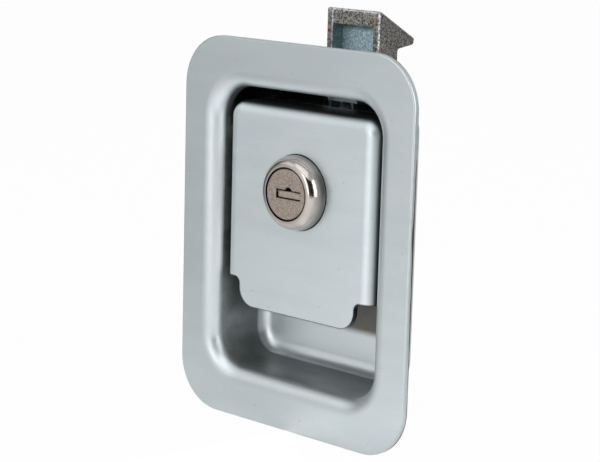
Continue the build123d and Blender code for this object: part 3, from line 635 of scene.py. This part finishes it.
# %% [markdown]
# ### Nickel, steel, brass, nylon and rubber
# The small parts.  Polished nickel is nearly a mirror with a warm tint; the plug's face is
# duller and grainy.  Painted shade draws a thin ring where plug and bezel meet, and the outline
# of the keyway.

# %% A helper for small metals
FINE_SCALE, DENT_SHARE, GRAIN_DARK, GLOSS_SPREAD = 12, 8, 0.55, (0.9, 1.15)
RING_WIDTH, SLOT_SOFT = 0.18 * MM, 0.08 * MM


def plain_metal(name, colour, roughness, cloud=0.12, scale=400.0, grain_height=0.000003,
                ring_radius=None, slot=None, rim=None, grainy=None):
    """A metal whose colour drifts by the given share; rim, ring and slot add painted shade."""
    mat, mn, ml, shader = new_material(name, 1.0, roughness, colour)
    finish = use_group(mn, clouds, Cloud_Scale=scale, Speckle_Scale=scale * FINE_SCALE)
    dark = tuple(c * (1 - cloud) for c in colour)
    base = blend(mn, ml, finish.outputs["Clouds"], dark, colour)
    if grainy:
        skin = use_group(mn, grain, Dents=grainy, Blotches=grainy / DENT_SHARE)
        base = blend(mn, ml, skin.outputs["Tone"], tuple(c * GRAIN_DARK for c in colour), colour)
    # The rim colour is painted shade on faces turned sideways.
    if rim:
        turned_away = use_group(mn, wall, Start=0.05, End=0.45)
        base = blend(mn, ml, turned_away.outputs["Wall"], base, rim)
    # Painted shade in the gap about the lock's axis.
    if ring_radius:
        line = use_group(mn, ring, Centre=LOCK_AXIS, Radius=ring_radius, Width=RING_WIDTH)
        base = blend(mn, ml, line.outputs["Ring"], base, SHADE_TONE)
    # Painted shade inside the slot's box.
    if slot:
        slot_shade = use_group(mn, inside, Low=slot[0], High=slot[1], Border=SLOT_SOFT)
        base = blend(mn, ml, slot_shade.outputs["Inside"], base, SHADE_TONE)
    ml.new(base, shader.inputs["Base Color"])
    gloss = [roughness * factor for factor in GLOSS_SPREAD]
    ml.new(ramp(mn, ml, finish.outputs["Speckle"], 0, 1, *gloss), shader.inputs["Roughness"])
    ml.new(bump(mn, ml, finish.outputs["Speckle"], grain_height), shader.inputs["Normal"])
    return mat


print("helper: plain_metal")

# %% The lock's nickel
RING_OUT, MATTE_GRAIN = 0.2 * MM, 0.00001
KEYWAY_X, KEYWAY_Z, THROUGH = 4.24 * MM, 1.24 * MM, 0.1
# The bezel's rim colour is a painted reflection of the shaded paddle on its steep sides, and its
# ring is painted shade in the gap round the plug.
bezel = plain_metal("bezel_nickel", (0.60, 0.545, 0.51), 0.13, cloud=0.06, scale=300.0,
                    ring_radius=PLUG_R + RING_OUT, rim=(0.20, 0.19, 0.18))
flap_low, flap_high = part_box("key_shutter")
x, z = (flap_low.x + flap_high.x) / 2, LOCK_AXIS[2]
keyway = ((x - KEYWAY_X, -THROUGH, z - KEYWAY_Z), (x + KEYWAY_X, THROUGH, z + KEYWAY_Z))
# The plug's ring and keyway are painted shade in the gap and the slot.
plug = plain_metal("plug_nickel", (0.60, 0.505, 0.44), 0.38, cloud=0.35, scale=2600.0,
                   grain_height=MATTE_GRAIN, ring_radius=PLUG_R, grainy=3600.0, slot=keyway)
shutter = plain_metal("shutter_nickel", (0.62, 0.53, 0.46), 0.4, cloud=0.25, scale=2600.0,
                      grain_height=MATTE_GRAIN)
print("three nickels; keyway box", [[round(v / MM, 1) for v in corner] for corner in keyway])

# %% Steel and brass
channel = plain_metal("channel_steel", (0.52, 0.55, 0.58), 0.4, cloud=0.15, scale=120.0)
pin = plain_metal("pin_steel", (0.52, 0.53, 0.54), 0.32)
spring = plain_metal("spring_steel", (0.30, 0.31, 0.33), 0.3)
cam = plain_metal("cam_steel", (0.55, 0.55, 0.53), 0.36, cloud=0.15, scale=160.0)
brass = plain_metal("tumbler_brass", (0.66, 0.48, 0.20), 0.32)
print("four steels and a brass")


# %% Nylon and rubber
def soft_plastic(name, colour, roughness):
    """A dull plastic with faint clouds and a fine grain."""
    mat, mn, ml, shader = new_material(name, 0.0, roughness, colour)
    finish = use_group(mn, clouds, Cloud_Scale=250.0, Speckle_Scale=3500.0)
    dark = tuple(c * 0.85 for c in colour)
    ml.new(blend(mn, ml, finish.outputs["Clouds"], dark, colour), shader.inputs["Base Color"])
    ml.new(bump(mn, ml, finish.outputs["Speckle"], FINE_GRAIN), shader.inputs["Normal"])
    return mat


nylon = soft_plastic("nylon", (0.78, 0.76, 0.70), 0.45)
rubber = soft_plastic("black_rubber", (0.025, 0.025, 0.026), 0.7)
print("nylon and rubber")

# %% [markdown]
# ## Give every piece its finish
# The CAD record names a material slot for each piece, and a finish goes with each slot.  The
# paddle and the dust shutter share their slots with other pieces but have finishes of their own.

# %% Assign the finishes
own_finish = {"paddle": paddle_sheet, "key_shutter": shutter}
by_slot = {"plated_sheet": pan_sheet, "channel_steel": channel, "die_cast_zinc": cast,
           "bezel_nickel": bezel, "plug_nickel": plug, "pin_steel": pin, "spring_steel": spring,
           "cam_steel": cam, "tumbler_brass": brass, "nylon": nylon, "black_rubber": rubber}
slot_of = {row["node"]: row["material_slot"] for row in frame["record"]["subparts"]}
for name, obj in nodes.items():
    finish = own_finish.get(name) or by_slot[slot_of[name]]
    for material_slot in obj.material_slots:
        material_slot.material = finish
    shade_by_angle(obj)
print("finishes given to", len(nodes), "pieces")

# %% [markdown]
# ## Stage
# A pale floor under the latch and a bright surround.  The camera sees both white.  What metal
# mirrors falls off to grey at the left, as in a room with one lit side, and that shade is what
# separates the flats from the rolled edges.  The falloff depends on the direction alone, so the
# floor and the surround share one group for it.

# %% The lit side group
LIT_SIDE = math.radians(20)
# From and to: how far a direction turns to the lit side; then the levels at both.
FRONT_RAMP, BACK_RAMP = (-0.35, 1.06, 0.03, 1.06), (-0.70, -0.30, 0.65, 0.0)
room, on, ol, oin, oout = new_group("lit_side", [("Direction", VECTOR, (0, -1, 0))],
                                    [("Level", FLOAT)])
level_part = add(on, "ShaderNodeVectorMath", operation="MULTIPLY")
level_part.inputs[1].default_value = (1, 1, 0)
ol.new(oin.outputs["Direction"], level_part.inputs[0])
heading = add(on, "ShaderNodeVectorMath", operation="NORMALIZE")
ol.new(level_part.outputs[0], heading.inputs[0])
facing = add(on, "ShaderNodeVectorMath", operation="DOT_PRODUCT")
facing.inputs[1].default_value = (math.sin(LIT_SIDE), -math.cos(LIT_SIDE), 0)
ol.new(heading.outputs[0], facing.inputs[0])
front_part = ramp(on, ol, facing.outputs["Value"], *FRONT_RAMP)
back_part = ramp(on, ol, facing.outputs["Value"], *BACK_RAMP)
ol.new(math_node(on, ol, "MAXIMUM", front_part, back_part), oout.inputs["Level"])
print("group lit_side:", len(on), "nodes")


# %% A helper for what sees the stage
def seen_directly(tree_nodes, links):
    """Light Path outputs: 1 for camera rays, and 1 for camera, mirror and glass rays."""
    rays = add(tree_nodes, "ShaderNodeLightPath")
    seen = math_node(tree_nodes, links, "MAXIMUM", rays.outputs["Is Camera Ray"],
                     rays.outputs["Is Glossy Ray"])
    seen = math_node(tree_nodes, links, "MAXIMUM", seen, rays.outputs["Is Transmission Ray"])
    return rays.outputs["Is Camera Ray"], seen


print("helper: seen_directly")

# %% [markdown]
# ### The floor
# The floor is a dull plane that takes the latch's shadow, mixed with a glow that only camera,
# mirror and glass rays see.  A small share stays dull, so a faint shadow is kept.  Close to the
# latch the glow is even, and farther out it follows the lit side.

# %% The floor
FLOOR_SIZE, FLOOR_GAP, SHADOW_KEPT = 6.0, 0.2 * MM, 0.025
NEAR_FROM, NEAR_TO, NEAR_LEVEL = 0.05, 0.40, 0.80
bpy.ops.mesh.primitive_plane_add(size=FLOOR_SIZE, location=(0, 0, cad_box[0][2] - FLOOR_GAP))
floor = bpy.context.object
floor.name = "floor"
floor_mat, mn, ml, shader = new_material("pale_floor", 0.0, 0.9, (0.9, 0.9, 0.9))
glow = add(mn, "ShaderNodeEmission")
side = use_group(mn, room)
spot = add(mn, "ShaderNodeTexCoord").outputs["Object"]
ml.new(spot, side.inputs["Direction"])
span = add(mn, "ShaderNodeVectorMath", operation="LENGTH")
ml.new(spot, span.inputs[0])
near = ramp(mn, ml, span.outputs["Value"], NEAR_FROM, NEAR_TO, NEAR_LEVEL, 0.0)
camera_ray, seen = seen_directly(mn, ml)
even = math_node(mn, ml, "MAXIMUM", near, side.outputs["Level"])
ml.new(math_node(mn, ml, "MAXIMUM", camera_ray, even), glow.inputs["Strength"])
mix = add(mn, "ShaderNodeMixShader")
ml.new(math_node(mn, ml, "MULTIPLY", seen, 1 - SHADOW_KEPT), mix.inputs[0])
ml.new(shader.outputs[0], mix.inputs[1])
ml.new(glow.outputs[0], mix.inputs[2])
ml.new(mix.outputs[0], mn["Material Output"].inputs["Surface"])
floor.data.materials.append(floor_mat)
floor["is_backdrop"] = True
print("floor at", round(floor.location.z / MM, 1), "mm")

# %% [markdown]
# ### The surround
# Camera rays see white.  Mirrors see the lit side near the horizon and one settled level
# overhead.  All other light from the surround is soft, even and plain.

# %% The surround
SOFT_LEVEL, CEILING, OVERHEAD = 0.35, 0.54, (0.35, 0.95)
world = bpy.data.worlds.new("surround")
bpy.context.scene.world = world
world.use_nodes = True
wn, wl = world.node_tree.nodes, world.node_tree.links
camera_ray, seen = seen_directly(wn, wl)
side = use_group(wn, room)
sky = add(wn, "ShaderNodeTexCoord").outputs["Generated"]
wl.new(sky, side.inputs["Direction"])
height = add(wn, "ShaderNodeSeparateXYZ")
wl.new(sky, height.inputs[0])
overhead = ramp(wn, wl, height.outputs["Z"], *OVERHEAD)
room_mix = add(wn, "ShaderNodeMix", data_type="FLOAT")
wl.new(overhead, room_mix.inputs[0])
wl.new(side.outputs["Level"], room_mix.inputs[2])
room_mix.inputs[3].default_value = CEILING
mirrored = math_node(wn, wl, "MAXIMUM", camera_ray, room_mix.outputs[0])
unseen = math_node(wn, wl, "SUBTRACT", 1.0, seen)
level = math_node(wn, wl, "MAXIMUM", math_node(wn, wl, "MULTIPLY", seen, mirrored),
                  math_node(wn, wl, "MULTIPLY", unseen, SOFT_LEVEL))
wl.new(level, wn["Background"].inputs["Strength"])
wn["Background"].inputs["Color"].default_value = (1, 1, 1, 1)
print("surround:", len(wn), "nodes")

# %% [markdown]
# ## Lamps
# Satin metal shows its bends by what they mirror.  A wide soft box in front, to the right of
# the latch, puts the bright line on each rolled lip.  A weak one at the upper left fills the
# flat faces, a small one far to the right lights what looks that way and puts a white patch in
# the bezel, and one high in front lights what looks up.

# %% Lamps
# name: azimuth, elevation (degrees), distance, width, height (metres), power (watts)
LAMPS = {"key": (30, 12, 0.9, 1.3, 0.9, 5.0),
         "fill": (-50, 35, 1.3, 0.7, 0.7, 0.7),
         "side": (94, 20, 0.5, 0.36, 0.40, 1.1),
         "top": (10, 60, 1.1, 1.0, 0.7, 1.8)}


def soft_box(name, azimuth, elevation, distance, width, height, power):
    """An area lamp seen from the latch at the given direction, facing the latch."""
    a, e = math.radians(azimuth), math.radians(elevation)
    towards = Vector((math.sin(a) * math.cos(e), -math.cos(a) * math.cos(e), math.sin(e)))
    data = bpy.data.lights.new(name, "AREA")
    data.shape, data.size, data.size_y, data.energy = "RECTANGLE", width, height, power
    lamp = bpy.data.objects.new(name, data)
    bpy.context.scene.collection.objects.link(lamp)
    lamp.location = towards * distance
    lamp.rotation_euler = towards.to_track_quat("Z", "Y").to_euler()


for name, values in LAMPS.items():
    soft_box(name, *values)
print("lamps:", ", ".join(LAMPS))

# %% [markdown]
# ## Camera
# The camera looks down a little from the front right, from nearly half a metre, with a long
# lens and a slight roll.  White stays white under the Standard view transform.

# %% Camera
AZIMUTH, ELEVATION, ROLL = 42.65, 11.05, 1.6
DISTANCE, LENS, SENSOR, CLIP_START = 0.4757, 111.6, 36.0, 0.01
AIM = Vector((3.36, -1.5, 3.25)) * MM
a, e, roll = (math.radians(v) for v in (AZIMUTH, ELEVATION, ROLL))
back = Vector((math.sin(a) * math.cos(e), -math.cos(a) * math.cos(e), math.sin(e)))
right = Vector((math.cos(a), math.sin(a), 0))
up = back.cross(right)
tilted = math.cos(roll) * right + math.sin(roll) * up
axes = Matrix((tilted, back.cross(tilted), back)).transposed().to_4x4()
camera_data = bpy.data.cameras.new("camera")
camera_data.lens, camera_data.sensor_width = LENS, SENSOR
camera_data.clip_start = CLIP_START
camera = bpy.data.objects.new("camera", camera_data)
bpy.context.scene.collection.objects.link(camera)
camera.matrix_world = Matrix.Translation(AIM + back * DISTANCE) @ axes
bpy.context.scene.camera = camera
bpy.context.scene.view_settings.view_transform = "Standard"
print("camera at", [round(v, 4) for v in camera.matrix_world.translation])

# %% [markdown]
# ## The dark card
# A polished ring in a white room looks flat.  A dark card behind the camera gives it one black
# accent.  The card shows only in mirrors: it is hidden from the camera, throws no shadow and
# takes no part in diffuse light.

# %% The dark card
CARD_BACK, CARD_W, CARD_H = 0.12, 0.60, 0.66
bpy.ops.mesh.primitive_plane_add(size=1.0)
card = bpy.context.object
card.name = "dark_card"
card_place = Matrix.Translation(AIM + back * (DISTANCE + CARD_BACK)) @ axes
card.matrix_world = card_place @ Matrix.Diagonal((CARD_W, CARD_H, 1, 1))
card.data.materials.append(new_material("dark_card", 0.0, 0.9, (0.01, 0.01, 0.01))[0])
card.visible_camera = card.visible_shadow = card.visible_diffuse = False
card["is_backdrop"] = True
print("card", CARD_W, "x", CARD_H, "m")

# %% [markdown]
# ## Sizes
# The box of the solids and the box of the finished pieces are printed side by side. The
# dressed latch may not be larger than its solids.

# %% Print the sizes
boxes = {"cad": [list(c) for c in cad_box], "visual": [list(c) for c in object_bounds()]}
for name, corners in boxes.items():
    print(name, "box in mm:", [[round(v / MM, 1) for v in corner] for corner in corners])
